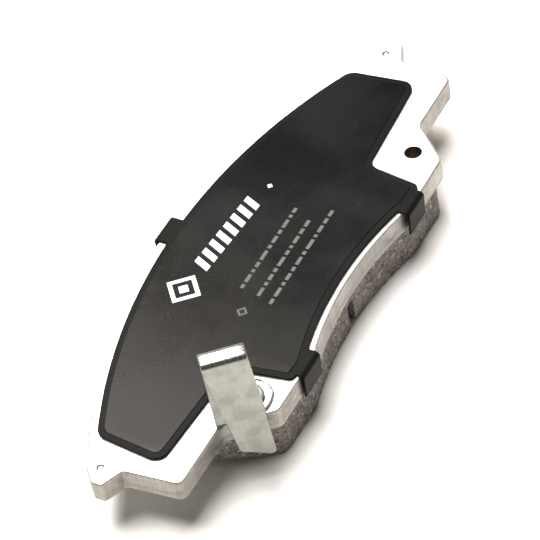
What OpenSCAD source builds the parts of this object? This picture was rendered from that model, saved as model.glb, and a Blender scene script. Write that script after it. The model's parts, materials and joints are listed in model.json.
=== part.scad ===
// Disc brake pad, inner side, with a bonded noise shim and a riveted wear indicator.
// Millimetres. +X runs along the pad, +Y towards the outer arc, +Z out of the back face.
// z = 0 is the friction face. The origin is the bottom centre of the part's own box.
// The plan is drawn with y = 0 on the line through the two lower shoulders, and then centred.

/* [Backing plate] */
// Distance from the middle of the pad to the tip of an ear
ear_tip_x = 72; // [71.2:0.1:72.8]
// Height of the outer arc above the shoulders, at the middle of the pad
arc_top_y = 49.5; // [48:0.5:51]
// Radius of the outer arc
arc_r = 138; // [134:1:142]
// Height of the concave lower edge above the shoulders, at the middle of the pad
hollow_y = 3.3; // [2.4:0.1:4]
// Radius of the concave lower edge
hollow_r = 90; // [84:1:96]
// Distance from the middle to the shoulder's lower corner
shoulder_x = 40; // [39:0.5:41]
// Length of the sloping step from the shoulder to the ear, along X
step_run = 8.5; // [8:0.1:9]
// Height of the sloping step
step_rise = 9.7; // [9:0.1:10.2]
// Thickness of the steel plate
plate_t = 5.5; // [5:0.1:6.5]

/* [Holes] */
// Distance from the middle to an indicator hole
hole_x = 39.8; // [39.4:0.1:40]
// Height of an indicator hole above the shoulders
hole_y = 7.3; // [7:0.1:7.6]
// Radius of an indicator hole
hole_r = 2; // [1.8:0.05:2.1]
// Radius of the countersink on the friction side of an indicator hole
sink_r = 3; // [2.6:0.1:3.2]
// Distance from the middle to a hole that the lining keys into
key_x = 21; // [18:1:24]
// Height of a hole that the lining keys into
key_y = 25; // [22:1:28]
// Radius of a hole that the lining keys into
key_r = 4.5; // [3.5:0.25:5.5]

/* [Lining] */
// Thickness of the friction material
block_t = 9.2; // [7:0.1:10]
// Thickness of the underlayer between the friction material and the plate
underlayer_t = 1.5; // [1:0.1:2]
// Thickness of the bonding film on the plate
film_t = 0.1; // [0.1:0.05:0.2]
// Distance that the lining stands back from the plate's edges
lining_inset = 1.3; // [1:0.1:2]
// Width of the slot across the middle of the friction face
slot_w = 2.5; // [2:0.1:3.5]
// Depth of the slot
slot_depth = 7; // [4:0.5:8]
// Length of the bevel at each end of the friction face
bevel_run = 4; // [3:0.5:6]
// Height of the bevel at each end of the friction face
bevel_rise = 3; // [2:0.25:4]

/* [Shim] */
// Thickness of the shim's adhesive
glue_t = 0.1; // [0.1:0.05:0.2]
// Thickness of the rubber under the shim's steel
under_rubber_t = 0.15; // [0.1:0.05:0.25]
// Thickness of the shim's steel
core_t = 0.5; // [0.4:0.05:0.7]
// Thickness of the rubber on top of the shim's steel
top_rubber_t = 0.15; // [0.1:0.05:0.3]
// Distance that the top rubber stands back from the border of the steel
top_rubber_inset = 1.5; // [1:0.1:2]
// Width of a folded tab
tab_w = 7.5; // [6.5:0.25:8.5]
// Distance from the shim's middle to a lower tab
tab_x = 25.7; // [24.8:0.1:26]
// Distance that the top tab's bend stands proud of the plate
top_tab_out = 1; // [0.9:0.05:1.6]
// Distance that a lower tab's bend stands proud of the plate
low_tab_out = 1; // [0.9:0.05:1.6]
// Distance that the shim sits off the pad's middle, towards the indicator
shim_shift = 1; // [0:0.1:1.5]

/* [Wear indicator] */
// Thickness of the spring steel strip
strip_t = 0.8; // [0.7:0.05:0.9]
// Width of the strip at the top
strip_w = 9.9; // [9:0.1:10.5]
// Height of the strip's top above the plate's back face
loop_h = 24; // [20:0.5:26]
// Distance between the outer faces of the two legs, at the top
loop_d = 4.65; // [4.4:0.05:4.9]
// Depth of the middle of the strip's tip below the plate's back face
tip_drop = 7.3; // [6.8:0.1:7.6]
// Radius of the rivet's head
rivet_head_r = 3.3; // [3:0.1:3.8]
// Height of the rivet's head
rivet_head_h = 1.3; // [1:0.1:1.8]

/* [Hidden] */
$fn = 96;

// Small distance that carries a cut past a face
cut = 0.5;
// Length that is more than the part's own
far = 200;
// Radial clearance of the rivet in its holes, and of the lining's keys
clearance = 0.05;

// Levels, from the friction face up
block_top = block_t;
underlayer_top = block_top + underlayer_t;
front_z = underlayer_top + film_t;
back_z = front_z + plate_t;
under_rubber_z = back_z + glue_t;
core_z = under_rubber_z + under_rubber_t;
top_rubber_z = core_z + core_t;

// Centres of the two large arcs
arc_centre_y = arc_top_y - arc_r;
hollow_centre_y = hollow_y - hollow_r;

// Where the ears' upper edges would meet, clear of the outer arc
apex_y = arc_top_y + 30;

// Places of the ear, from its tip
ear_top_x = ear_tip_x - 6;
ear_top_y = 33.6;
ear_high_y = 28.3;
ear_low_y = 25.6;
nook_x = ear_tip_x - 5.1;
nook_y = 23.2;
end_x = ear_tip_x - 6.4;
end_low_y = step_rise + 0.1;
dimple_x = ear_tip_x - 4.2;
dimple_y = 28.2;
dimple_r = 0.8;
dimple_depth = 0.6;
sink_h = 1.2;

// The part's box, from the lower tabs to the top tab, is centred on y = 0
centre_y = (arc_top_y + top_tab_out - low_tab_out) / 2;

// The shim's corners, and its distances from the plate's two arcs
shim_arc_inset = 2.5;
shim_hollow_inset = 1.3;
shim_top_x = 59.8;
shim_end_x = 61.4;
shim_end_y = 16.5;
shim_waist_x = 33;
shim_waist_y = 14.7;
shim_foot_x = 31;
shim_foot_y = 0.9;
least_corner_r = 0.5;

// The folded tabs: the bend, the gap to the plate's edge at the foot, how far the foot hangs
// below the plate, how far the top tab sits off the shim's middle, and the necks on the shim
tab_bend_r = 0.9;
tab_gap = 0.2;
tab_drop = 0.6;
top_tab_shift = 1;
top_neck = 5;
low_neck = 6;

// The lining's corners
lining_low_x = shoulder_x - 1.6;
lining_step_x = shoulder_x + step_run - 1;
lining_step_y = step_rise + 2;
lining_top_x = 56.5;

// The indicator stands square to the sloping step at its end of the pad
step_angle = atan2(step_rise, step_run);
foot_r = 5.4;
bend_r = 1.2;
leg_n = 5.5;
outer_leg_n = leg_n + loop_d - strip_t;
root_z = strip_t / 2 + bend_r;
root_gap = 0.15;
root_low_w = -8.5;
root_high_w = 2.6;
foot_flank_n = -1.5;
foot_flank_w = root_low_w + 3.4;
top_w = -3.95;
tip_w = -1;
tip_width = 7.6;
tip_tilt = 2.9;
tip_corner_r = 1.1;
rear_bend_r = 0.9;
front_bend_r = 1.45;
leg_lean = 1.2;

// The rivet's head
head_chamfer = 0.4;
head_dimple_r = 1.2;

function unit(v) = v / norm(v);

// Points of an arc that rounds the corner c, with radius r, between the corners a and b
function corner_arc(a, c, b, r, steps = 8) =
    let (u = unit(a - c))
    let (v = unit(b - c))
    let (half = acos(u * v) / 2)
    let (mid = unit(u + v))
    let (centre = c + mid * r / sin(half))
    let (from = c + u * r / tan(half) - centre)
    let (to = c + v * r / tan(half) - centre)
    [for (i = [0 : steps]) let (k = i / steps)
        centre + r * ((1 - k) * from + k * to) / norm((1 - k) * from + k * to)];

// Outline with each corner [x, y, r] rounded to its radius r
function rounded(p) =
    let (n = len(p))
    [for (i = [0 : n - 1])
        let (a = p[(i + n - 1) % n], c = p[i], b = p[(i + 1) % n])
        each (c[2] == 0 ? [[c[0], c[1]]] : corner_arc([a[0], a[1]], [c[0], c[1]], [b[0], b[1]], c[2]))];

// Right-hand corners, bottom to top, and then their mirror images, top to bottom. The last
// one is on the centre line
function both_sides(p) = concat(p, [for (i = [len(p) - 2 : -1 : 0]) [-p[i][0], p[i][1], p[i][2]]]);

// Height on the centre line of the tangent to an arc of radius r at distance x
function roof_y(x, r) = arc_centre_y + r * r / sqrt(r * r - x * x);
function arc_y(x, r) = arc_centre_y + sqrt(r * r - x * x);

// Points of an arc about a centre, from one angle to another
function bend(centre, r, from, to, steps = 8) =
    [for (i = [0 : steps]) let (t = from + (to - from) * i / steps) centre + r * [cos(t), sin(t)]];

// Points of a path moved sideways by d, to the left of its direction
function beside(path, d) =
    let (last = len(path) - 1)
    [for (i = [0 : last])
        let (u = path[min(i + 1, last)] - path[min(i, last - 1)])
        let (v = path[max(i, 1)] - path[max(i - 1, 0)])
        let (m = unit(u) + unit(v))
        path[i] + 2 * d * [-m[1], m[0]] / (m * m)];

// Profile of a bent strip that is t thick, with the path along its middle
module strip_profile(path, t) {
    far_side = beside(path, t / 2);
    polygon(concat(beside(path, -t / 2), [for (i = [len(path) - 1 : -1 : 0]) far_side[i]]));
}

// Corners of an outline that is drawn in by d all round, given anticlockwise
function drawn_in(p, d) =
    let (n = len(p))
    [for (i = [0 : n - 1])
        let (before = p[(i + n - 1) % n], c = p[i], after = p[(i + 1) % n])
        let (u = unit([c[0] - before[0], c[1] - before[1]]))
        let (v = unit([after[0] - c[0], after[1] - c[1]]))
        let (m = [-u[1] - v[1], u[0] + v[0]] * d / (1 + u * v))
        let (turn = cross(u, v) > 0 ? -d : d)
        [c[0] + m[0], c[1] + m[1], c[2] == 0 ? 0 : max(least_corner_r, c[2] + turn)]];

// Outline bounded by the corners in p, the outer arc and the hollow. Each arc is drawn in by
// its own inset, and the whole outline by a further distance
module crescent(p, arc_inset, hollow_inset, further = 0) {
    difference() {
        intersection() {
            polygon(rounded(drawn_in(both_sides(p), further)));
            translate([0, arc_centre_y]) circle(arc_r - arc_inset - further, $fn = 360);
        }
        translate([0, hollow_centre_y]) circle(hollow_r + hollow_inset + further, $fn = 360);
    }
}

module plate_outline() {
    crescent([
        [shoulder_x, 0, 2.5],
        [shoulder_x + step_run, step_rise, 3],
        [end_x, end_low_y, 2],
        [nook_x, nook_y, 0.8],
        [ear_tip_x, ear_low_y, 0.8],
        [ear_tip_x, ear_high_y, 1],
        [ear_top_x, ear_top_y, 0],
        [0, apex_y, 0]
    ], 0, 0);
}

module lining_outline() {
    r = arc_r - lining_inset;
    crescent([
        [lining_low_x, lining_inset, 2.5],
        [lining_step_x, lining_step_y, 3],
        [lining_top_x, arc_y(lining_top_x, r), 4],
        [0, roof_y(lining_top_x, r), 0]
    ], lining_inset, lining_inset);
}

module shim_outline(further = 0) {
    r = arc_r - shim_arc_inset;
    translate([-shim_shift, 0]) crescent([
        [shim_foot_x, shim_foot_y, 1.5],
        [shim_waist_x, shim_waist_y, 3.2],
        [shim_end_x, shim_end_y, 3],
        [shim_top_x, arc_y(shim_top_x, r), 3.5],
        [0, roof_y(shim_top_x, r), 0]
    ], shim_arc_inset, shim_hollow_inset, further);
}

// Plan parts are drawn from the shoulders and then centred on the origin
module centred() {
    translate([0, -centre_y, 0]) children();
}

module at_indicator_hole(side) {
    translate([side * hole_x, hole_y, 0]) children();
}

module backing_plate() {
    color("gainsboro") centred() difference() {
        translate([0, 0, front_z]) linear_extrude(plate_t) plate_outline();
        for (side = [-1, 1]) {
            at_indicator_hole(side) {
                translate([0, 0, front_z - cut]) cylinder(r = hole_r, h = plate_t + 2 * cut);
                countersink(0);
            }
            translate([side * key_x, key_y, front_z - cut]) cylinder(r = key_r, h = plate_t + 2 * cut);
            translate([side * dimple_x, dimple_y, back_z - dimple_depth])
                cylinder(r = dimple_r, h = dimple_depth + cut);
        }
    }
}

// Cone of the countersink on the plate's friction side, smaller by gap
module countersink(gap) {
    translate([0, 0, front_z]) cylinder(r1 = sink_r - gap, r2 = hole_r - gap, h = sink_h);
}

module bonding_film() {
    color("saddlebrown") centred() difference() {
        translate([0, 0, underlayer_top]) linear_extrude(film_t) lining_outline();
        for (side = [-1, 1])
            translate([side * key_x, key_y, underlayer_top - cut]) cylinder(r = key_r, h = film_t + 2 * cut);
    }
}

module underlayer() {
    color("dimgray") centred() {
        translate([0, 0, block_top]) linear_extrude(underlayer_t) lining_outline();
        for (side = [-1, 1])
            translate([side * key_x, key_y, block_top])
                cylinder(r = key_r - clearance, h = back_z - block_top);
    }
}

module friction_block() {
    color("darkgray") centred() difference() {
        linear_extrude(block_t) lining_outline();
        translate([-slot_w / 2, 0, -cut]) cube([slot_w, arc_top_y + cut, slot_depth + cut]);
        for (side = [-1, 1]) end_bevel(side);
    }
}

// Wedge that bevels one end of the friction face, along the lining's sloping end
module end_bevel(side) {
    run = lining_top_x - lining_step_x;
    rise = arc_y(lining_top_x, arc_r) - lining_step_y;
    slope = bevel_rise / bevel_run;
    mirror([side < 0 ? 1 : 0, 0, 0])
        translate([lining_step_x, lining_step_y, 0])
            rotate([0, 0, -atan2(run, rise)])
                rotate([90, 0, 0])
                    linear_extrude(far, center = true)
                        polygon([
                            [-bevel_run - cut / slope, -cut],
                            [far, -cut],
                            [far, slope * (far + bevel_run)]
                        ]);
}

module shim_adhesive() {
    color("darkkhaki") centred() translate([0, 0, back_z]) linear_extrude(glue_t) shim_outline();
}

module shim_under_rubber() {
    color([0.10, 0.10, 0.10]) centred()
        translate([0, 0, under_rubber_z]) linear_extrude(under_rubber_t) shim_outline();
}

module shim_steel_core() {
    color([0.16, 0.16, 0.17]) centred() {
        translate([0, 0, core_z]) linear_extrude(core_t) shim_outline();
        translate([-shim_shift - top_tab_shift, arc_top_y, 0]) folded_tab(top_tab_out, top_neck);
        for (side = [-1, 1])
            translate([side * tab_x - shim_shift, 0, 0])
                rotate([0, 0, 180]) folded_tab(low_tab_out, low_neck);
    }
}

// Tab that leaves the shim along +Y, bends down past the plate's edge at y = 0 and
// leans back towards the edge. Its bend stands out by reach, and neck lies on the shim.
module folded_tab(reach, neck) {
    turn_y = reach - core_t / 2 - tab_bend_r;
    mid_z = core_z + core_t / 2;
    foot_y = tab_gap + core_t / 2;
    foot_z = front_z - tab_drop;
    translate([-tab_w / 2, 0, 0]) rotate([90, 0, 90]) linear_extrude(tab_w)
        strip_profile(concat(
            [[-neck, mid_z]],
            bend([turn_y, mid_z - tab_bend_r], tab_bend_r, 90, 0),
            [[foot_y, foot_z]]
        ), core_t);
}

module shim_top_rubber() {
    color([0.08, 0.08, 0.08]) centred()
        translate([0, 0, top_rubber_z]) linear_extrude(top_rubber_t) shim_outline(top_rubber_inset);
}

// The indicator's own frame: origin on the plate's back face at the rivet, +X out across
// the sloping step, +Y along the step towards the shoulder
module on_indicator() {
    centred() at_indicator_hole(-1) translate([0, 0, back_z]) rotate([0, 0, -90 - step_angle]) children();
}

// Wide strip with the profile of its children, drawn with x across the step and y up
module across_strip() {
    rotate([90, 0, 0]) linear_extrude(far, center = true) children();
}

// Solid seen square on from outside the step, with x along the step and y up, that
// spans the distances low_n to high_n across the step
module facing_out(outline, low_n, high_n) {
    translate([low_n, 0, 0]) rotate([90, 0, 90]) linear_extrude(high_n - low_n) polygon(outline);
}

module indicator_foot() {
    bend_x = leg_n - bend_r;
    color("silver") on_indicator() {
        difference() {
            linear_extrude(strip_t) union() {
                circle(foot_r);
                polygon([
                    [foot_flank_n, foot_flank_w],
                    [bend_x, root_low_w],
                    [bend_x, root_high_w],
                    [0, foot_r]
                ]);
            }
            translate([0, 0, -cut]) cylinder(r = hole_r, h = strip_t + 2 * cut);
            translate([bend_x, -2 * foot_r, -cut]) cube([foot_r, 4 * foot_r, strip_t + 2 * cut]);
        }
        intersection() {
            across_strip() strip_profile(concat(
                [[bend_x - bend_r, strip_t / 2]],
                bend([bend_x, root_z], bend_r, -90, 0)
            ), strip_t);
            translate([bend_x - cut, root_low_w, -cut])
                cube([leg_n, root_high_w - root_low_w, loop_h]);
        }
    }
}

module indicator_leaf() {
    low_z = root_z + root_gap;
    top_z = loop_h - strip_t / 2;
    rear = [leg_n + rear_bend_r, top_z - rear_bend_r];
    front = [outer_leg_n - front_bend_r, top_z - front_bend_r];
    middle_n = (rear[0] + front[0]) / 2;
    leg_top = front + front_bend_r * [cos(leg_lean), -sin(leg_lean)];
    past_tip_z = -2 * tip_drop;
    half_w = strip_w / 2;
    low_w = top_w - half_w;
    high_w = top_w + half_w;
    color("silver") on_indicator() intersection() {
        across_strip() strip_profile(concat(
            [[leg_n, low_z]],
            bend(rear, rear_bend_r, 180, 90),
            bend(front, front_bend_r, 90, -leg_lean),
            [[leg_top[0] - (leg_top[1] - past_tip_z) * tan(leg_lean), past_tip_z]]
        ), strip_t);
        union() {
            facing_out([
                [root_low_w, 0],
                [root_high_w, 0],
                [high_w, rear[1]],
                [high_w, loop_h + cut],
                [low_w, loop_h + cut],
                [low_w, rear[1]]
            ], 0, middle_n + cut);
            facing_out(rounded([
                [low_w, front[1], 0],
                [tip_w - tip_width / 2, tip_tilt / 2 - tip_drop, tip_corner_r],
                [tip_w + tip_width / 2, -tip_tilt / 2 - tip_drop, tip_corner_r],
                [high_w, front[1], 0],
                [high_w, loop_h + cut, 0],
                [low_w, loop_h + cut, 0]
            ]), middle_n, 2 * outer_leg_n);
        }
    }
}

module indicator_rivet() {
    head_z = back_z + strip_t;
    rim_z = head_z + rivet_head_h - head_chamfer;
    color("lightgray") centred() at_indicator_hole(-1) difference() {
        union() {
            translate([0, 0, head_z]) cylinder(r = rivet_head_r, h = rivet_head_h - head_chamfer);
            translate([0, 0, rim_z])
                cylinder(r1 = rivet_head_r, r2 = rivet_head_r - head_chamfer, h = head_chamfer);
            translate([0, 0, front_z]) cylinder(r = hole_r - clearance, h = head_z - front_z);
            countersink(clearance);
        }
        translate([0, 0, rim_z]) cylinder(r = head_dimple_r, h = head_chamfer + cut);
    }
}

backing_plate();
bonding_film();
underlayer();
friction_block();
shim_adhesive();
shim_under_rubber();
shim_steel_core();
shim_top_rubber();
indicator_foot();
indicator_leaf();
indicator_rivet();
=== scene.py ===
import json
import math

import bmesh
import bpy
from mathutils import Matrix, Vector, noise
from mathutils.bvhtree import BVHTree


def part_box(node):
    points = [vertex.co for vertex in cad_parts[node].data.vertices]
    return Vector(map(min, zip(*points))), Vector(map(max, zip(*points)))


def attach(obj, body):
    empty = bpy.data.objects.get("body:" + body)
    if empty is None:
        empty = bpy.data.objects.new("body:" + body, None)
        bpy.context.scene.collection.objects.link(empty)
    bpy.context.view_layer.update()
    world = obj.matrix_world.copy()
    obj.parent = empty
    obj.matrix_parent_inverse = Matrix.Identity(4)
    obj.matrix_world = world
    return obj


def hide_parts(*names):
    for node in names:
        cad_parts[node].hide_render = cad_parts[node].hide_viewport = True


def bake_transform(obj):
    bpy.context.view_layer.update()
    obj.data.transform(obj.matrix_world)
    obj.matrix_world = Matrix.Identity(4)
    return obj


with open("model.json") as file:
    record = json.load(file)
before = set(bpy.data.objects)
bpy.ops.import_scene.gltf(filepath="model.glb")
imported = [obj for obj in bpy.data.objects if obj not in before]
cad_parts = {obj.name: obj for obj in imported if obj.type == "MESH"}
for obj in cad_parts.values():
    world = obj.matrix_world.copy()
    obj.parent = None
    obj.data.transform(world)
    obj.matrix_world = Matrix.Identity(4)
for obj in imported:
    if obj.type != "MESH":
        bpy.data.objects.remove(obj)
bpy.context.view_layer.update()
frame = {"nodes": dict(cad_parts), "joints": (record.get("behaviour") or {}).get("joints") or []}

MM = 0.001
FLAT = 0.004 * MM  # a face is at a height if its corners are this near to it
MICRONS = 1e6  # corners meet if they are the same to the micrometre
SAME = 0.002 * MM  # an outline's points that are closer than this are one
CORNER = math.radians(16)  # a sharper turn in an outline is a corner
LOPSIDED = 2.5  # from this ratio on, the longer of two sides gives an outline's direction
KNEE = 0.3  # how far in the middle point of a rounded edge lies, as a share of its radius
STRIP_T = 0.8 * MM  # the thickness of the wear indicator's strip

# Levels and places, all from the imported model
plate_low, plate_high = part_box("backing_plate")
rubber_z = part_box("shim_top_rubber")[1].z
rivet_low, rivet_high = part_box("indicator_rivet")
leaf_low, leaf_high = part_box("indicator_leaf")
front_z = plate_low.z
back_z = plate_high.z
plate_t = back_z - front_z
hinge = frame["joints"][0]
hinge_axis = Vector(hinge["axis"]).normalized()
rivet_centre = Vector(((rivet_low.x + rivet_high.x) / 2, (rivet_low.y + rivet_high.y) / 2, back_z))


# ---------------------------------------------------------------- outlines

def outlines(node, z):
    """Closed outlines of the flat faces that a CAD node has at height z, the longest first, with
    the material on their left."""
    mesh = frame["nodes"][node].data
    places, onward = {}, {}
    for face in mesh.polygons:
        corners = [mesh.vertices[i].co for i in face.vertices]
        if max(abs(c.z - z) for c in corners) > FLAT:
            continue
        keys = [(round(c.x * MICRONS), round(c.y * MICRONS)) for c in corners]
        if face.normal.z < 0:
            keys.reverse()
            corners.reverse()
        places.update(zip(keys, corners))
        for a, b in zip(keys, keys[1:] + keys[:1]):
            if (b, a) in onward:
                del onward[(b, a)]
            else:
                onward[(a, b)] = True
    step = dict(onward.keys())
    loops = []
    while step:
        start, here = next(iter(step.items()))
        del step[start]
        loop = [start]
        while here != start:
            loop.append(here)
            here = step.pop(here)
        loops.append([Vector((places[k].x, places[k].y)) for k in loop])
    return sorted(loops, key=lambda p: -sum((a - b).length for a, b in zip(p, p[1:] + p[:1])))


def distinct(p):
    """The outline without the points that repeat the one before."""
    return [q for i, q in enumerate(p) if (q - p[i - 1]).length > SAME]


def refined(p, step):
    """The outline with a point every step or so, on a smooth curve through its own points where
    it bends gently, and with its corners kept."""
    p = distinct(p)
    n = len(p)
    leave, reach = [], []
    for i in range(n):
        before, after = p[i] - p[i - 1], p[(i + 1) % n] - p[i]
        u, v = before.normalized(), after.normalized()
        if abs(math.atan2(u.x * v.y - u.y * v.x, u.dot(v))) > CORNER:
            reach.append(u)
            leave.append(v)
            continue
        if before.length > LOPSIDED * after.length:
            tangent = u
        elif after.length > LOPSIDED * before.length:
            tangent = v
        else:
            tangent = (u * after.length + v * before.length).normalized()
        reach.append(tangent)
        leave.append(tangent)
    found = []
    for i in range(n):
        a, b = p[i], p[(i + 1) % n]
        length = (b - a).length
        count = max(1, round(length / step))
        for k in range(count):
            t = k / count
            found.append(
                a * (2 * t ** 3 - 3 * t ** 2 + 1)
                + leave[i] * length * (t ** 3 - 2 * t ** 2 + t)
                + b * (3 * t ** 2 - 2 * t ** 3)
                + reach[(i + 1) % n] * length * (t ** 3 - t ** 2)
            )
    return found


def drawn_in(p, distance):
    """The outline moved into the material by a distance, or by one distance a point."""
    n = len(p)
    found = []
    for i in range(n):
        u = (p[i] - p[i - 1]).normalized()
        v = (p[(i + 1) % n] - p[i]).normalized()
        mitre = Vector((-u.y - v.y, u.x + v.x)) / (1 + max(u.dot(v), -0.5))
        found.append(p[i] + mitre * (distance[i] if isinstance(distance, list) else distance))
    return found


def wavy(p, z, size, depth, seed):
    """A distance into the material for each point of an outline, from 0 to depth."""
    places = [Vector((q.x / size, q.y / size, z / size + seed)) for q in p]
    return [depth * (0.5 + 0.5 * noise.fractal(place, 0.7, 2.1, 3)) for place in places]


# ---------------------------------------------------------------- meshes

class Shell:
    """A closed mesh put together from rings of points."""

    def __init__(self):
        self.bm = bmesh.new()

    def ring(self, points, z=None):
        return [self.bm.verts.new((q[0], q[1], q[2] if z is None else z)) for q in points]

    def wall(self, rings):
        for low, high in zip(rings, rings[1:]):
            for i in range(len(low)):
                self.bm.faces.new((low[i - 1], low[i], high[i], high[i - 1]))

    def cap(self, *rings):
        edges = []
        for ring in rings:
            for i in range(len(ring)):
                pair = (ring[i - 1], ring[i])
                edges.append(self.bm.edges.get(pair) or self.bm.edges.new(pair))
        bmesh.ops.triangle_fill(self.bm, use_beauty=True, edges=edges)

    def closed(self, rings):
        """A wall through these rings, with both its ends."""
        self.wall(rings)
        self.cap(rings[0])
        self.cap(rings[-1])

    def made(self, name, material, body, smooth=38):
        bmesh.ops.recalc_face_normals(self.bm, faces=self.bm.faces[:])
        return finished(self.bm, name, material, body, smooth)


def finished(bm, name, material, body, smooth=38, weighted=True):
    """The piece made of this mesh, shaded smooth up to that angle, on its body."""
    mesh = bpy.data.meshes.new(name)
    bm.to_mesh(mesh)
    bm.free()
    if "custom_normal" in mesh.attributes:
        mesh.attributes.remove(mesh.attributes["custom_normal"])
    mesh.shade_smooth()
    mesh.set_sharp_from_angle(angle=math.radians(smooth))
    obj = bpy.data.objects.new(name, mesh)
    bpy.context.scene.collection.objects.link(obj)
    mesh.materials.clear()
    mesh.materials.append(material)
    if weighted:
        obj.modifiers.new("normals", "WEIGHTED_NORMAL").keep_sharp = True
    if body:
        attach(obj, body)
    return obj


def from_cad(node):
    """A clean copy of a CAD node's mesh, with its flat faces whole."""
    bm = bmesh.new()
    bm.from_mesh(frame["nodes"][node].data)
    bmesh.ops.remove_doubles(bm, verts=bm.verts[:], dist=0.001 * MM)
    bmesh.ops.dissolve_limit(bm, angle_limit=math.radians(0.3), verts=bm.verts[:], edges=bm.edges[:])
    bmesh.ops.recalc_face_normals(bm, faces=bm.faces[:])
    return bm


def layer(node, material, edge, seed, squeeze):
    """A thin sheet from that CAD node's outline, and with its name. Its edges are rounded, and its
    rim is uneven by squeeze, drawn into the material."""
    low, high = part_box(node)
    shell = Shell()
    lows, highs = [], []
    for loop in outlines(node, high.z):
        p = distinct(loop)
        rim = wavy(p, high.z, 3 * MM, squeeze, seed)
        far_in = [r + edge for r in rim]
        half_in = [r + KNEE * edge for r in rim]
        rings = [
            shell.ring(drawn_in(p, far_in), low.z),
            shell.ring(drawn_in(p, half_in), low.z + KNEE * edge),
            shell.ring(drawn_in(p, rim), low.z + edge),
            shell.ring(drawn_in(p, rim), high.z - edge),
            shell.ring(drawn_in(p, half_in), high.z - KNEE * edge),
            shell.ring(drawn_in(p, far_in), high.z),
        ]
        shell.wall(rings)
        lows.append(rings[0])
        highs.append(rings[-1])
    shell.cap(*lows)
    shell.cap(*highs)
    obj = shell.made(node, material, "pad")
    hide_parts(node)


# ---------------------------------------------------------------- materials

class Paint:
    """A node material, with short calls for the nodes that it is made of."""

    def __init__(self, name, **shader):
        self.material = bpy.data.materials.new(name)
        self.material.use_nodes = True
        self.tree = self.material.node_tree
        self.shader = self.tree.nodes["Principled BSDF"]
        self.set(self.shader, shader)
        self.place = self.add("ShaderNodeTexCoord").outputs["Object"]
        self.normal = None

    def set(self, node, values):
        for key, value in values.items():
            socket = node.inputs[key if isinstance(key, int) else key.replace("_", " ")]
            if isinstance(value, bpy.types.NodeSocket):
                self.tree.links.new(value, socket)
            else:
                socket.default_value = value

    def add(self, kind, inputs=None, **facts):
        node = self.tree.nodes.new(kind)
        for key, value in facts.items():
            setattr(node, key, value)
        self.set(node, inputs or {})
        return node

    def stretched(self, x, y, z, turn=(0, 0, 0)):
        values = {"Vector": self.place, "Scale": (x, y, z), "Rotation": turn}
        return self.add("ShaderNodeMapping", values).outputs[0]

    def noise(self, scale, detail, rough, place=None):
        values = {"Vector": place or self.place, "Scale": scale, "Detail": detail, "Roughness": rough}
        return self.add("ShaderNodeTexNoise", values).outputs[0]

    def cells(self, scale, place=None):
        return self.add("ShaderNodeTexVoronoi", {"Vector": place or self.place, "Scale": scale}).outputs

    def part(self, value, low, high, to_low=0.0, to_high=1.0):
        node = self.add(
            "ShaderNodeMapRange",
            {"Value": value, "From Min": low, "From Max": high, "To Min": to_low, "To Max": to_high},
            interpolation_type="SMOOTHSTEP",
        )
        return node.outputs[0]

    def calc(self, a, b, how="MULTIPLY"):
        return self.add("ShaderNodeMath", {0: a, 1: b}, operation=how).outputs[0]

    def mix(self, factor, a, b, how="MIX"):
        a, b = ((*c, 1.0) if isinstance(c, tuple) else c for c in (a, b))
        node = self.add("ShaderNodeMix", data_type="RGBA", blend_type=how, clamp_factor=True)
        self.set(node, {0: factor, 6: a, 7: b})
        return node.outputs[2]

    def side(self):
        """1 on upright faces and 0 on level ones."""
        normal = self.add("ShaderNodeNewGeometry").outputs["Normal"]
        up = self.add("ShaderNodeSeparateXYZ", {0: normal}).outputs["Z"]
        return self.part(self.calc(up, 0.0, "ABSOLUTE"), 0.35, 0.9, 1.0, 0.0)

    def bump(self, height, strength, distance):
        values = {"Height": height, "Strength": strength, "Distance": distance}
        if self.normal is not None:
            values["Normal"] = self.normal
        self.normal = self.add("ShaderNodeBump", values).outputs[0]

    def done(self, **sockets):
        if self.normal is not None:
            sockets["Normal"] = self.normal
        self.set(self.shader, sockets)
        return self.material


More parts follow.
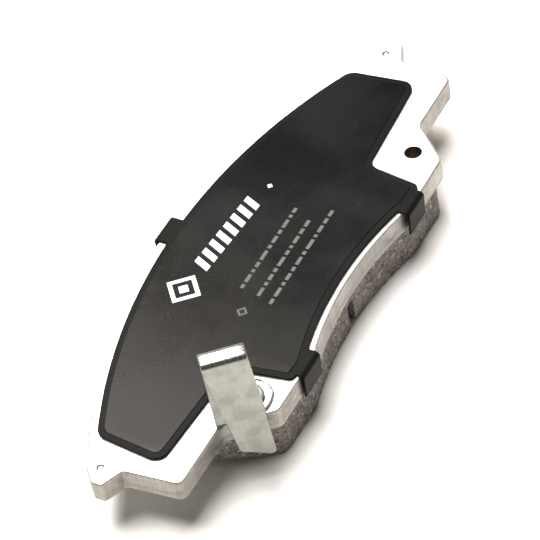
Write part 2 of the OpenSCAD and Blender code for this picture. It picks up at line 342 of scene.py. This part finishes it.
def zinc_plated(name, warm, cool, dull, brushed=None):
    """Bright zinc on blanked steel: clouded on its flat faces; on its cut sides darker, partly as duller
    cut steel and partly as painted shade, with drawn streaks and brown stains. A strip has patches and
    rolled lines instead, along the coordinates that brushed makes."""
    m = Paint(name, Metallic=0.92)
    cloud = m.part(m.noise(55, 5, 0.6), 0.36, 0.66)
    grain = m.noise(2600, 3, 0.6)
    pits = m.part(m.cells(900)["Distance"], 0.0, 0.16, 1.0, 0.0)
    pits = m.calc(pits, m.part(m.noise(160, 2, 0.5), 0.5, 0.66))
    streaks = m.noise(1.0, 5, 0.65, place=m.stretched(1500, 1500, 90))
    side = m.side()
    streaked, ridged = (0.6, 0.6) if brushed is None else (0.15, 0.1)
    colour = m.mix(cloud, warm, cool)
    colour = m.mix(m.calc(m.part(grain, 0.35, 0.75), 0.35), colour, dull)
    drawn = m.calc(m.part(streaks, 0.42, 0.72), side)
    colour = m.mix(m.calc(drawn, streaked), colour, dull)
    colour = m.mix(m.calc(pits, 0.55), colour, (0.22, 0.21, 0.19))
    rough = m.part(m.calc(m.calc(cloud, 0.5), m.calc(grain, 0.5), "ADD"), 0.2, 0.8, 0.3, 0.46)
    if brushed is None:
        stains = m.calc(m.part(m.noise(190, 5, 0.65), 0.47, 0.68), side)
        # painted shade: upright faces multiplied darker, partly duller cut steel, partly shade painted
        # in
        colour = m.mix(side, colour, (0.47, 0.45, 0.43), "MULTIPLY")
        colour = m.mix(m.calc(stains, 0.6), colour, (0.15, 0.13, 0.115))
    else:
        patches = m.part(m.noise(260, 3, 0.5), 0.4, 0.66)
        colour = m.mix(m.calc(patches, 0.38), colour, tuple(0.72 * c for c in dull))
        rough = m.calc(rough, -0.08, "ADD")
        lines = m.noise(1.0, 4, 0.6, place=brushed(m))
        rough = m.calc(rough, m.part(lines, 0.3, 0.7, -0.04, 0.06), "ADD")
        m.bump(lines, 0.1, 0.015 * MM)
    m.bump(m.calc(streaks, side), ridged, 0.06 * MM)
    m.bump(grain, 0.35, 0.02 * MM)
    m.bump(m.noise(420, 3, 0.5), 0.3, 0.05 * MM)
    return m.done(Base_Color=colour, Roughness=rough)


def black_coat(name, base, sheen, low_rough, high_rough, peel=1700, gloss=0.09):
    """Black rubber or paint: satin, with a fine skin, faint clouds and light rubs."""
    m = Paint(name, Specular_IOR_Level=gloss)
    skin = m.noise(peel, 4, 0.6)
    cloud = m.noise(45, 4, 0.55)
    rubs = m.noise(1.0, 5, 0.7, place=m.stretched(80, 900, 80, (0, 0, 0.5)))
    rubs = m.calc(m.part(rubs, 0.6, 0.78), m.part(m.noise(38, 2, 0.5), 0.45, 0.62))
    dust = m.part(m.cells(1300)["Distance"], 0.0, 0.07, 1.0, 0.0)
    colour = m.mix(m.part(cloud, 0.35, 0.68), base, sheen)
    colour = m.mix(m.calc(m.part(skin, 0.45, 0.75), 0.3), colour, tuple(2.1 * c for c in sheen))
    colour = m.mix(m.calc(rubs, 0.14), colour, (0.06, 0.057, 0.052))
    colour = m.mix(m.calc(dust, 0.12), colour, (0.2, 0.195, 0.18))
    rough = m.part(cloud, 0.3, 0.72, low_rough, high_rough)
    rough = m.calc(rough, m.calc(rubs, 0.12), "ADD")
    m.bump(skin, 0.3, 0.02 * MM)
    m.bump(m.noise(300, 2, 0.5), 0.12, 0.04 * MM)
    return m.done(Base_Color=colour, Roughness=rough)


def friction_mix(name, light, mid, dark, ground):
    """Pressed friction mix: grains and fibres of several kinds in a grey binder, and on level faces
    the fine lines of grinding, which blends the grains in as much as ground says."""
    m = Paint(name, Specular_IOR_Level=0.35)
    jitter = m.add("ShaderNodeTexNoise", {"Vector": m.place, "Scale": 3600, "Detail": 4})
    shift = {0: jitter.outputs["Color"], "Scale": 0.42 * MM}
    shift = m.add("ShaderNodeVectorMath", shift, operation="SCALE").outputs[0]
    crumbled = m.add("ShaderNodeVectorMath", {0: m.place, 1: shift}, operation="ADD").outputs[0]
    grains = m.cells(1500, crumbled)
    kind = m.add("ShaderNodeSeparateColor", {0: grains["Color"]}).outputs
    fine_kind = m.add("ShaderNodeSeparateColor", {0: m.cells(3400, crumbled)["Color"]}).outputs
    cloud = m.noise(130, 4, 0.6)
    flat = m.calc(1.0, m.side(), "SUBTRACT")
    colour = m.mix(m.part(cloud, 0.36, 0.66), mid, light)
    colour = m.mix(m.calc(m.part(fine_kind[0], 0.55, 0.9), 0.55), colour, light)
    colour = m.mix(m.calc(m.part(fine_kind[1], 0.68, 0.86), 0.7), colour, dark)
    colour = m.mix(m.calc(m.part(kind[0], 0.8, 0.9), 0.75), colour, dark)
    colour = m.mix(m.calc(m.part(kind[1], 0.88, 0.94), 0.6), colour, (0.45, 0.43, 0.4))
    colour = m.mix(m.calc(m.part(kind[2], 0.94, 0.97), 0.5), colour, (0.4, 0.29, 0.17))
    fibres = m.noise(1.0, 3, 0.6, place=m.stretched(330, 2600, 1500, (0.3, 0.2, 0.7)))
    colour = m.mix(m.calc(m.part(fibres, 0.66, 0.74), 0.35), colour, (0.4, 0.35, 0.27))
    lines = m.noise(1.0, 4, 0.65, place=m.stretched(60, 5200, 60))
    colour = m.mix(m.calc(flat, ground), colour, mid)
    colour = m.mix(m.calc(m.calc(m.part(lines, 0.5, 0.75), flat), 0.4), colour, dark)
    rough = m.part(fine_kind[2], 0.0, 1.0, 0.62, 0.86)
    m.bump(m.calc(lines, flat), 0.4, 0.05 * MM)
    m.bump(grains["Distance"], 0.5, 0.16 * MM)
    m.bump(m.noise(1900, 4, 0.65), 0.6, 0.12 * MM)
    return m.done(Base_Color=colour, Roughness=rough)


def printed(name, full, worn):
    """Pad-printed ink on rubber, thin in places."""
    m = Paint(name, Specular_IOR_Level=0.4)
    thin = m.part(m.noise(2300, 4, 0.7), 0.6, 0.74)
    patch = m.part(m.noise(260, 3, 0.5), 0.42, 0.66)
    colour = m.mix(m.calc(patch, 0.25), full, worn)
    colour = m.mix(m.calc(thin, 0.6), colour, worn)
    m.bump(m.noise(1700, 3, 0.6), 0.3, 0.02 * MM)
    return m.done(Base_Color=colour, Roughness=m.part(thin, 0.0, 1.0, 0.5, 0.66))


def bond(name):
    """Phenolic bonding film: dark brown, and resin-glossy in places."""
    m = Paint(name, Specular_IOR_Level=0.5)
    cloud = m.part(m.noise(700, 4, 0.6), 0.35, 0.7)
    colour = m.mix(cloud, (0.045, 0.03, 0.018), (0.1, 0.07, 0.04))
    m.bump(m.noise(1500, 3, 0.6), 0.5, 0.05 * MM)
    return m.done(Base_Color=colour, Roughness=m.part(m.noise(300, 2, 0.5), 0.3, 0.7, 0.3, 0.55))


def adhesive(name):
    """Pressure adhesive under the shim: amber-grey and clouded."""
    m = Paint(name, Specular_IOR_Level=0.45)
    cloud = m.part(m.noise(900, 3, 0.6), 0.35, 0.7)
    colour = m.mix(cloud, (0.1, 0.09, 0.065), (0.2, 0.18, 0.13))
    m.bump(m.noise(2000, 3, 0.6), 0.4, 0.03 * MM)
    return m.done(Base_Color=colour, Roughness=m.part(m.noise(500, 2, 0.5), 0.3, 0.7, 0.35, 0.6))


def floor_paint():
    """A pale matt floor, faintly clouded."""
    m = Paint("studio_floor", Specular_IOR_Level=0.2)
    cloud = m.part(m.noise(9, 3, 0.5), 0.35, 0.65)
    colour = m.mix(cloud, (0.8, 0.772, 0.738), (0.82, 0.798, 0.77))
    m.bump(m.noise(800, 3, 0.6), 0.1, 0.05 * MM)
    return m.done(Base_Color=colour, Roughness=m.part(m.noise(60, 2, 0.5), 0.3, 0.7, 0.55, 0.65))


def along_strip(m):
    """Coordinates stretched up the indicator, for the rolled lines of strip steel."""
    angle = math.atan2(hinge_axis.y, hinge_axis.x)
    level = m.add("ShaderNodeVectorRotate", {"Vector": m.place, "Axis": (0, 0, 1), "Angle": -angle})
    return m.add("ShaderNodeMapping", {"Vector": level.outputs[0], "Scale": (1400, 220, 120)}).outputs[0]


zinc = zinc_plated("zinc_plated_steel", (0.74, 0.73, 0.705), (0.63, 0.65, 0.645), (0.42, 0.4, 0.37))
spring = zinc_plated(
    "zinc_spring_steel", (0.34, 0.35, 0.325), (0.27, 0.283, 0.258), (0.2, 0.203, 0.185), along_strip
)
rivet_zinc = zinc_plated("zinc_rivet", (0.7, 0.69, 0.66), (0.62, 0.64, 0.64), (0.4, 0.39, 0.36))
top_black = black_coat("shim_top_rubber", (0.003, 0.0031, 0.003), (0.0055, 0.0055, 0.0052), 0.17, 0.25)
under_black = black_coat("shim_under_rubber", (0.014, 0.014, 0.013), (0.025, 0.024, 0.022), 0.5, 0.65)
core_black = black_coat(
    "shim_steel_coat", (0.003, 0.0031, 0.003), (0.0065, 0.0065, 0.006), 0.3, 0.42, peel=2400, gloss=0.05
)
lining = friction_mix(
    "friction_mix", (0.215, 0.196, 0.184), (0.15, 0.135, 0.127), (0.046, 0.041, 0.038), 0.3
)
backing_mix = friction_mix(
    "underlayer_mix", (0.16, 0.147, 0.137), (0.11, 0.1, 0.094), (0.038, 0.034, 0.032), 0.2
)
white_ink = printed("ink_white", (0.82, 0.82, 0.81), (0.32, 0.32, 0.31))
grey_ink = printed("ink_grey", (0.085, 0.085, 0.085), (0.025, 0.025, 0.025))


# ---------------------------------------------------------------- backing plate

def circle_ring(centre, radius, count):
    return [
        centre + radius * Vector((math.cos(a), -math.sin(a)))
        for a in (2 * math.pi * k / count for k in range(count))
    ]


def middle_of(loop):
    return sum(loop, Vector((0, 0))) / len(loop)


def radius_of(loop):
    c = middle_of(loop)
    return sum((q - c).length for q in loop) / len(loop)


def backing_plate():
    """Blanked steel: a rolled edge on the back, a clean band, a torn band and a sharp front."""
    shell = Shell()
    back_loops = outlines("backing_plate", back_z)
    front_loops = outlines("backing_plate", front_z)
    p = refined(back_loops[0], 0.6 * MM)
    # inset, height above the front, unevenness (all in millimetres) and its pattern
    profile = [
        (0.16, 0.0, 0.02, 0),
        (0.06, 0.05, 0.06, 1),
        (0.03, 0.14, 0.11, 1),
        (0.02, 0.6, 0.16, 2),
        (0.03, 1.1, 0.15, 2),
        (0.01, 1.55, 0.1, 3),
        (0.0, 1.75, 0.02, 3),
        (0.0, 2.2, 0.015, 4),
        (0.0, plate_t / MM - 0.75, 0.01, 4),
        (0.03, plate_t / MM - 0.42, 0.01, 4),
        (0.1, plate_t / MM - 0.2, 0.008, 4),
        (0.22, plate_t / MM - 0.07, 0.006, 4),
        (0.4, plate_t / MM - 0.015, 0.0, 4),
        (0.62, plate_t / MM, 0.0, 4),
    ]
    rings = []
    for inset, height, rough, seed in profile:
        uneven = wavy(p, height * MM, 1.1 * MM, rough * MM, 3.7 * seed)
        rings.append(shell.ring(drawn_in(p, [inset * MM + d for d in uneven]), front_z + height * MM))
    shell.wall(rings)
    lows, highs = [rings[0]], [rings[-1]]

    def through(loop, low_r):
        """A hole with softened edges, and with a cone at the front if its radius there, low_r, is
        the greater."""
        c, r = middle_of(loop), radius_of(loop)
        soft = 0.15 * MM
        sink = 1.2 * MM if low_r - r > 0.1 * MM else 2 * soft
        steps = [
            (low_r + soft, front_z),
            (low_r, front_z + soft),
            (r, front_z + sink),
            (r, back_z - soft),
            (r + KNEE * soft, back_z - KNEE * soft),
            (r + soft, back_z),
        ]
        found = [shell.ring(circle_ring(c, radius, 64), z) for radius, z in steps]
        shell.wall(found)
        lows.append(found[0])
        highs.append(found[-1])

    front = [(middle_of(loop), radius_of(loop)) for loop in front_loops[1:]]
    for loop in back_loops[1:]:
        c, r = middle_of(loop), radius_of(loop)
        matching = [front_r for front_c, front_r in front if (front_c - c).length < 0.5 * MM]
        if matching:
            through(loop, matching[0])
            continue
        # a shallow punched mark
        steps = [
            (r + 0.12 * MM, back_z),
            (r, back_z - 0.12 * MM),
            (r - 0.05 * MM, back_z - 0.4 * MM),
            (0.55 * r, back_z - 0.58 * MM),
        ]
        found = [shell.ring(circle_ring(c, radius, 32), z) for radius, z in steps]
        shell.wall(found[::-1])
        shell.cap(found[-1])
        highs.append(found[0])
    shell.cap(*lows)
    shell.cap(*highs)
    obj = shell.made("plate", zinc, "pad")
    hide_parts("backing_plate")


# ---------------------------------------------------------------- lining

def granular(node, material, voxel, rough, smooth_faces):
    """A pressed block from that CAD node, and with its name: it has crumbly edges and pitted sides,
    but its level faces at the heights in smooth_faces stay flat."""
    bm = from_cad(node)
    tree = BVHTree.FromBMesh(bm)
    mesh = bpy.data.meshes.new(node + "_start")
    bm.to_mesh(mesh)
    bm.free()
    start = bpy.data.objects.new(node + "_start", mesh)
    bpy.context.scene.collection.objects.link(start)
    remesh = start.modifiers.new("remesh", "REMESH")
    remesh.mode = "VOXEL"
    remesh.voxel_size = voxel
    bpy.context.view_layer.update()
    evaluated = start.evaluated_get(bpy.context.evaluated_depsgraph_get())
    bm = bmesh.new()
    bm.from_mesh(evaluated.to_mesh())
    evaluated.to_mesh_clear()
    bpy.data.objects.remove(start)
    moves = []
    ground_depth = 0.04 * rough
    for v in bm.verts:
        place, normal, _, _ = tree.find_nearest(v.co)
        level = abs(normal.z) > 0.98 and any(abs(place.z - z) < 0.02 * MM for z in smooth_faces)
        coarse = noise.fractal(place / (1.5 * MM), 0.8, 2.0, 3)
        fine = noise.noise(place / (0.55 * MM))
        pit = max(0.0, noise.noise(place / (1.0 * MM) + Vector((7, 3, 5))) - 0.32)
        depth = rough * (0.55 + 0.4 * coarse + 0.25 * fine + 2.6 * pit)
        moves.append(place - normal * max(0.0, ground_depth if level else depth))
    for v, place in zip(bm.verts, moves):
        v.co = place
    obj = finished(bm, node, material, "pad", 55, weighted=False)
    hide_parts(node)


# ---------------------------------------------------------------- shim

def steel_core():
    """The shim's sheet with its three folded tabs, all edges rounded as coated sheet is."""
    bm = from_cad("shim_steel_core")
    sharp = [e for e in bm.edges if len(e.link_faces) == 2 and e.calc_face_angle() > math.radians(35)]
    bmesh.ops.bevel(
        bm, geom=sharp, offset=0.12 * MM, offset_type="OFFSET", segments=3, profile=0.5,
        affect="EDGES", clamp_overlap=True,
    )
    obj = finished(bm, "shim_core", core_black, "pad")
    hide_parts("shim_steel_core")


def ink(name, shapes, material, height):
    """Flat printed shapes on the top rubber, each from its outline and those of its holes."""
    shell = Shell()
    for loops in shapes:
        lows, highs = [], []
        for loop in loops:
            rings = [shell.ring(loop, rubber_z - height), shell.ring(loop, rubber_z + height)]
            shell.wall(rings)
            lows.append(rings[0])
            highs.append(rings[1])
        shell.cap(*lows)
        shell.cap(*highs)
    shell.made(name, material, "pad", 30)


def turned(points, centre, angle):
    """Points in millimetres, turned and moved to their place, in metres."""
    c, s = math.cos(angle), math.sin(angle)
    return [Vector((centre[0] + x * c - y * s, centre[1] + x * s + y * c)) * MM for x, y in points]


def slanted(w, h, lean):
    """A bar's corners, with its top moved to the right by lean and its foot to the left."""
    return [(x * w / 2 + y * lean, y * h / 2) for x, y in ((-1, -1), (1, -1), (1, 1), (-1, 1))]


def diamond(a):
    return [(a, 0), (0, a), (-a, 0), (0, -a)]


def printed_marks():
    """A plain diamond and a row of slanted bars, with three rows of dashes under them, all in
    millimetres."""
    tilt = math.radians(-3.5)
    centre = (-17.2, 11.35)
    bold = [
        (turned(diamond(4.6), centre, tilt), turned(diamond(3.2), centre, tilt)),
        (turned(diamond(1.5), centre, tilt),),
    ]
    bar, pitch, drop = slanted(1.7, 4.2, 0.75), 2.95, 0.07
    for k in range(8):
        place = (-8.9 + pitch * k, 11.1 - drop * pitch * k)
        bold.append((turned(bar, place, tilt),))
    bold.append((turned(diamond(0.75), (18.1, 8.3), tilt),))
    ink("print_mark", bold, white_ink, 0.012 * MM)
    # each row's y, where it starts, and the lengths of its dashes
    rows = [
        (-0.75, -12.4, (1.2, 2.4, 0.9, 1.6, 3.0, 1.1, 2.2, 1.3, 2.6, 0.9, 1.5)),
        (-5.35, -13.2, (2.6, 1.0, 1.8, 1.2, 2.9, 1.4, 0.9, 2.3, 1.7, 2.0)),
        (-9.0, -14.4, (1.6, 2.8, 1.0, 2.1, 1.3, 2.5, 1.1, 3.1, 0.9, 2.2, 1.6, 1.9)),
    ]
    dash_width, gap = 0.85, 0.75
    faint = []
    for y, x, lengths in rows:
        for length in lengths:
            faint.append((turned(slanted(length, dash_width, 0.0), (x + length / 2, y), 0.0),))
            x += length + gap
    spot = (-18.6, -4.25)
    faint.append((turned(diamond(1.4), spot, 0.0), turned(diamond(0.8), spot, 0.0)))
    ink("print_rows", faint, grey_ink, 0.01 * MM)


# ---------------------------------------------------------------- wear indicator

def indicator_strip():
    """One bent strip of spring steel: a foot under the rivet, a leg that rises from it, a rounded
    crown, and a long outer leg that leans back a little as it reaches down past the plate."""
    out = Vector((hinge_axis.y, -hinge_axis.x, 0))
    if out.dot(leaf_low + leaf_high - 2 * rivet_centre) < 0:
        out = -out
    along = Vector((0, 0, 1)).cross(out) * -1
    if along.dot(Vector((1, 0, 0))) < 0:
        along = -along
    # the strip's middle line: n is how far out it is from the rivet's axis, z how far up from the
    # plate's back, and the bends have these radii
    half = STRIP_T / 2
    foot_r, leg_n, outer_n, bend_r = 5.4 * MM, 5.5 * MM, 9.35 * MM, 1.2 * MM
    flat_n = leg_n - bend_r
    rear_r, front_r, lean = 0.9 * MM, 1.45 * MM, math.radians(1.2)
    top_z = leaf_high.z - back_z - half
    tip_z = leaf_low.z - back_z
    rear_n, rear_z = leg_n + rear_r, top_z - rear_r
    front_n, front_bend_z = outer_n - front_r, top_z - front_r
    up_leg = out * math.sin(lean) + Vector((0, 0, math.cos(lean)))

    def arc(n, z, r, start, end, count):
        return [
            (n + r * math.cos(a), z + r * math.sin(a))
            for a in (start + (end - start) * k / count for k in range(count + 1))
        ]

    def line(a, b, step):
        count = max(1, round(math.hypot(b[0] - a[0], b[1] - a[1]) / step))
        shares = [k / count for k in range(count + 1)]
        return [(a[0] + (b[0] - a[0]) * t, a[1] + (b[1] - a[1]) * t) for t in shares]

    q = math.pi / 2
    path = [(-foot_r * math.cos(q * k / 14), half) for k in range(15)]
    path += line((0, half), (flat_n, half), 0.5 * MM)[1:]
    foot_end = len(path)
    path += arc(flat_n, half + bend_r, bend_r, -q, 0, 12)[1:]
    path += line((leg_n, half + bend_r), (leg_n, rear_z), 1.0 * MM)[1:]
    path += arc(rear_n, rear_z, rear_r, 2 * q, q, 12)[1:]
    path += line((rear_n, top_z), (front_n, top_z), 0.4 * MM)[1:]
    path += arc(front_n, front_bend_z, front_r, q, -lean, 18)[1:]
    outer_start = len(path) - 1
    n, z = path[-1]
    tip_n = n - (z - tip_z) * math.tan(lean)
    soft = 2.0 * MM
    soft_n = tip_n + soft * math.tan(lean)
    path += line((n, z), (soft_n, tip_z + soft), 1.0 * MM)[1:]
    path += line((soft_n, tip_z + soft), (tip_n, tip_z), 0.15 * MM)[1:]

    # where its two edges are along the hinge, from the foot's flank to the tip
    flank_n, flank_low = -1.5 * MM, -5.1 * MM
    root_low, root_high, root_share = -8.5 * MM, 2.6 * MM, 0.8
    top_low, top_high = -8.9 * MM, 1.0 * MM
    tip_low, tip_high, tip_tilt, tip_r = -4.8 * MM, 2.8 * MM, 2.9 * MM, 1.1 * MM

    def between(a, b, k):
        k = min(1.0, max(0.0, k))
        return a + (b - a) * k

    def edges(i):
        """Where the strip's two edges are, and how much higher the low edge is."""
        n, z = path[i]
        if i < foot_end and n < flat_n:
            high = math.sqrt(max(0.0, foot_r ** 2 - n ** 2))
            low = -high
            if n > flank_n:
                low = min(low, between(flank_low, root_low, (n - flank_n) / (flat_n - flank_n)))
            if n > 0:
                k = n / flat_n
                high = max(high * between(1, root_share, k), between(foot_r, root_high, k))
            return low, high, 0.0
        if i < outer_start and n < rear_n:
            k = z / rear_z
            return between(root_low, top_low, k), between(root_high, top_high, k), 0.0
        if i < outer_start:
            return top_low, top_high, 0.0
        k = (front_bend_z - z) / (front_bend_z - tip_z)
        low, high = between(top_low, tip_low, k), between(top_high, tip_high, k)
        tilt = tip_tilt * max(0.0, k) ** 2
        left = (z - tip_z) / tip_r
        if left < 1:
            inset = tip_r * (1 - math.sqrt(max(0.0, 1 - (1 - left) ** 2)))
            low, high = low + inset, high - inset
        return low, high, tilt

    edge = 0.2 * MM
    narrowest = 2.2 * edge
    across = [k / 8 for k in range(9)]
    rounding = [(edge, half), (KNEE * edge, half - KNEE * edge), (0.0, half - edge)]

    def section(i):
        """The ring of points round the strip at one point of its middle line."""
        low, high, tilt = edges(i)
        if high - low < narrowest:
            middle = (low + high) / 2
            low, high = middle - narrowest / 2, middle + narrowest / 2
        n, z = path[i]
        a, b = path[max(i - 1, 0)], path[min(i + 1, len(path) - 1)]
        d = Vector((b[0] - a[0], b[1] - a[1])).normalized()
        left = Vector((-d.y, d.x))
        span = [low + edge + (high - low - 2 * edge) * s for s in across]
        flat = [(low + w, -h) for w, h in rounding[::-1]]
        flat += [(w, -half) for w in span[1:-1]]
        flat += [(high - w, -h) for w, h in rounding]
        flat += [(high - w, h) for w, h in rounding[::-1]]
        flat += [(w, half) for w in span[-2:0:-1]]
        flat += [(low + w, h) for w, h in rounding]
        points = []
        for w, h in flat:
            place = rivet_centre + out * (n + left.x * h) + along * w + Vector((0, 0, z + left.y * h))
            points.append(place + up_leg * (tilt * (high - w) / (high - low)))
        return points

    shell = Shell()
    rings = [shell.ring(section(i)) for i in range(len(path))]
    shell.wall(rings)
    shell.bm.faces.new(rings[0])
    shell.bm.faces.new(rings[-1][::-1])
    obj = shell.made("indicator_strip", spring, None, 50)
    # the rivet's hole through its foot
    hole_r = 2.0 * MM
    cutter = Shell()
    round_hole = circle_ring(rivet_centre.xy, hole_r, 48)
    cutter.closed([cutter.ring(round_hole, back_z - 1 * MM), cutter.ring(round_hole, back_z + 2 * MM)])
    tool = cutter.made("hole_tool", spring, None)
    tool.modifiers.clear()
    obj.modifiers.clear()
    cut = obj.modifiers.new("hole", "BOOLEAN")
    cut.operation = "DIFFERENCE"
    cut.solver = "EXACT"
    cut.object = tool
    bpy.context.view_layer.update()
    result = bpy.data.meshes.new_from_object(obj.evaluated_get(bpy.context.evaluated_depsgraph_get()))
    obj.modifiers.clear()
    obj.data = result
    bpy.data.objects.remove(tool)
    obj.modifiers.new("normals", "WEIGHTED_NORMAL").keep_sharp = True
    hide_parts("indicator_foot", "indicator_leaf")
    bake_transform(obj)


def rivet():
    """Headed rivet: a domed, ring-marked head with a punched dimple, a shank, and an upset tail
    that fills the countersink on the front."""
    top = rivet_high.z
    head = back_z + STRIP_T
    r = (rivet_high.x - rivet_low.x) / 2
    shank_r = 1.94 * MM
    profile = [
        (1.1 * MM, front_z + 0.12 * MM),
        (1.5 * MM, front_z + 0.02 * MM),
        (2.55 * MM, front_z),
        (2.85 * MM, front_z + 0.1 * MM),
        (shank_r, front_z + 1.2 * MM),
        (shank_r, head),
        (r - 0.2 * MM, head),
        (r, head + 0.15 * MM),
        (r, top - 0.62 * MM),
        (r - 0.08 * MM, top - 0.42 * MM),
        (r - 0.26 * MM, top - 0.24 * MM),
        (r - 0.55 * MM, top - 0.1 * MM),
        (r - 0.85 * MM, top - 0.05 * MM),
        (r - 0.95 * MM, top - 0.13 * MM),
        (r - 1.1 * MM, top - 0.14 * MM),
        (r - 1.22 * MM, top - 0.03 * MM),
        (r - 1.5 * MM, top),
        (1.32 * MM, top - 0.01 * MM),
        (1.2 * MM, top - 0.07 * MM),
        (1.02 * MM, top - 0.3 * MM),
        (0.8 * MM, top - 0.4 * MM),
        (0.3 * MM, top - 0.44 * MM),
    ]
    shell = Shell()
    shell.closed([shell.ring(circle_ring(rivet_centre.xy, radius, 72), z) for radius, z in profile])
    obj = shell.made("rivet", rivet_zinc, "pad", 40)
    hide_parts("indicator_rivet")


# ---------------------------------------------------------------- the pad

backing_plate()
film = bond("bonding_film")
glue = adhesive("shim_adhesive")
layer("bonding_film", film, edge=0.02 * MM, seed=1.3, squeeze=0.05 * MM)
granular("underlayer", backing_mix, voxel=0.5 * MM, rough=0.07 * MM,
         smooth_faces=[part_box("underlayer")[0].z, back_z, front_z - 0.1 * MM])
granular("friction_block", lining, voxel=0.45 * MM, rough=0.1 * MM,
         smooth_faces=[0.0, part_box("friction_block")[1].z])
layer("shim_adhesive", glue, edge=0.02 * MM, seed=2.9, squeeze=0.12 * MM)
layer("shim_under_rubber", under_black, edge=0.04 * MM, seed=5.1, squeeze=0.05 * MM)
steel_core()
layer("shim_top_rubber", top_black, edge=0.06 * MM, seed=8.8, squeeze=0.02 * MM)
printed_marks()
indicator_strip()
rivet()


# ---------------------------------------------------------------- stage, light, camera

def staged_floor():
    mesh = bpy.data.meshes.new("floor")
    bm = bmesh.new()
    bmesh.ops.create_grid(bm, x_segments=4, y_segments=4, size=6.0)
    bm.to_mesh(mesh)
    bm.free()
    mesh.materials.append(floor_paint())
    floor = bpy.data.objects.new("floor", mesh)
    floor.location.z = -0.02 * MM
    bpy.context.scene.collection.objects.link(floor)


def soft_light(name, azimuth, elevation, spread, power, colour):
    """A round, soft light far off in that direction, and that wide across, all in degrees."""
    light = bpy.data.lights.new(name, "SUN")
    light.angle = math.radians(spread)
    light.energy = power
    light.color = colour
    obj = bpy.data.objects.new(name, light)
    turn, rise = math.radians(azimuth), math.radians(elevation)
    level = math.cos(rise)
    direction = Vector((level * math.cos(turn), level * math.sin(turn), math.sin(rise)))
    obj.rotation_mode = "QUATERNION"
    obj.rotation_quaternion = direction.to_track_quat("Z", "Y")
    bpy.context.scene.collection.objects.link(obj)


def studio_world():
    """A soft room: bright overhead and beyond the pad, dim on its other side, and pale all round
    the horizon."""
    world = bpy.data.worlds.new("studio")
    world.use_nodes = True
    tree = world.node_tree
    place = tree.nodes.new("ShaderNodeTexCoord").outputs["Generated"]

    def eased(value, low, high, to_low, to_high):
        node = tree.nodes.new("ShaderNodeMapRange")
        node.interpolation_type = "SMOOTHSTEP"
        tree.links.new(value, node.inputs["Value"])
        numbers = {"From Min": low, "From Max": high, "To Min": to_low, "To Max": to_high}
        for key, number in numbers.items():
            node.inputs[key].default_value = number
        return node.outputs[0]

    facing = tree.nodes.new("ShaderNodeVectorMath")
    facing.operation = "DOT_PRODUCT"
    facing.inputs[1].default_value = Vector((0.52, 0.4, 0.75)).normalized()
    tree.links.new(place, facing.inputs[0])
    height = tree.nodes.new("ShaderNodeSeparateXYZ")
    tree.links.new(place, height.inputs[0])
    sky = eased(facing.outputs["Value"], 0.1, 0.95, 0.015, 0.34)
    horizon = eased(height.outputs["Z"], 0.07, 0.19, 1.1, 0.0)
    both = tree.nodes.new("ShaderNodeMath")
    both.operation = "MAXIMUM"
    tree.links.new(sky, both.inputs[0])
    tree.links.new(horizon, both.inputs[1])
    background = tree.nodes["Background"]
    background.inputs["Color"].default_value = (1.0, 0.955, 0.9, 1.0)
    tree.links.new(both.outputs[0], background.inputs["Strength"])
    return world


staged_floor()
scene = bpy.context.scene
scene.world = studio_world()
soft_light("key", 75, 80, 40, 6.4, (1.0, 0.985, 0.965))
soft_light("sheen", 46, 53, 11, 1.2, (1.0, 0.93, 0.86))
scene.view_settings.view_transform = "Standard"

camera_data = bpy.data.cameras.new("camera")
camera = bpy.data.objects.new("camera", camera_data)
scene.collection.objects.link(camera)
scene.camera = camera
camera_data.sensor_width = 36.0
camera_data.lens = 182.5
camera_data.clip_start = 0.05
camera_data.clip_end = 50.0
eye = Vector((-0.3454, -0.25695, 0.4495))
look_at = Vector((-0.0022, -0.00185, 0.0132))
image_up = Vector((0.635, 0.215, 0.742))
forward = (look_at - eye).normalized()
up = (image_up - forward * image_up.dot(forward)).normalized()
right = forward.cross(up)
camera.matrix_world = Matrix.Translation(eye) @ Matrix((right, up, -forward)).transposed().to_4x4()
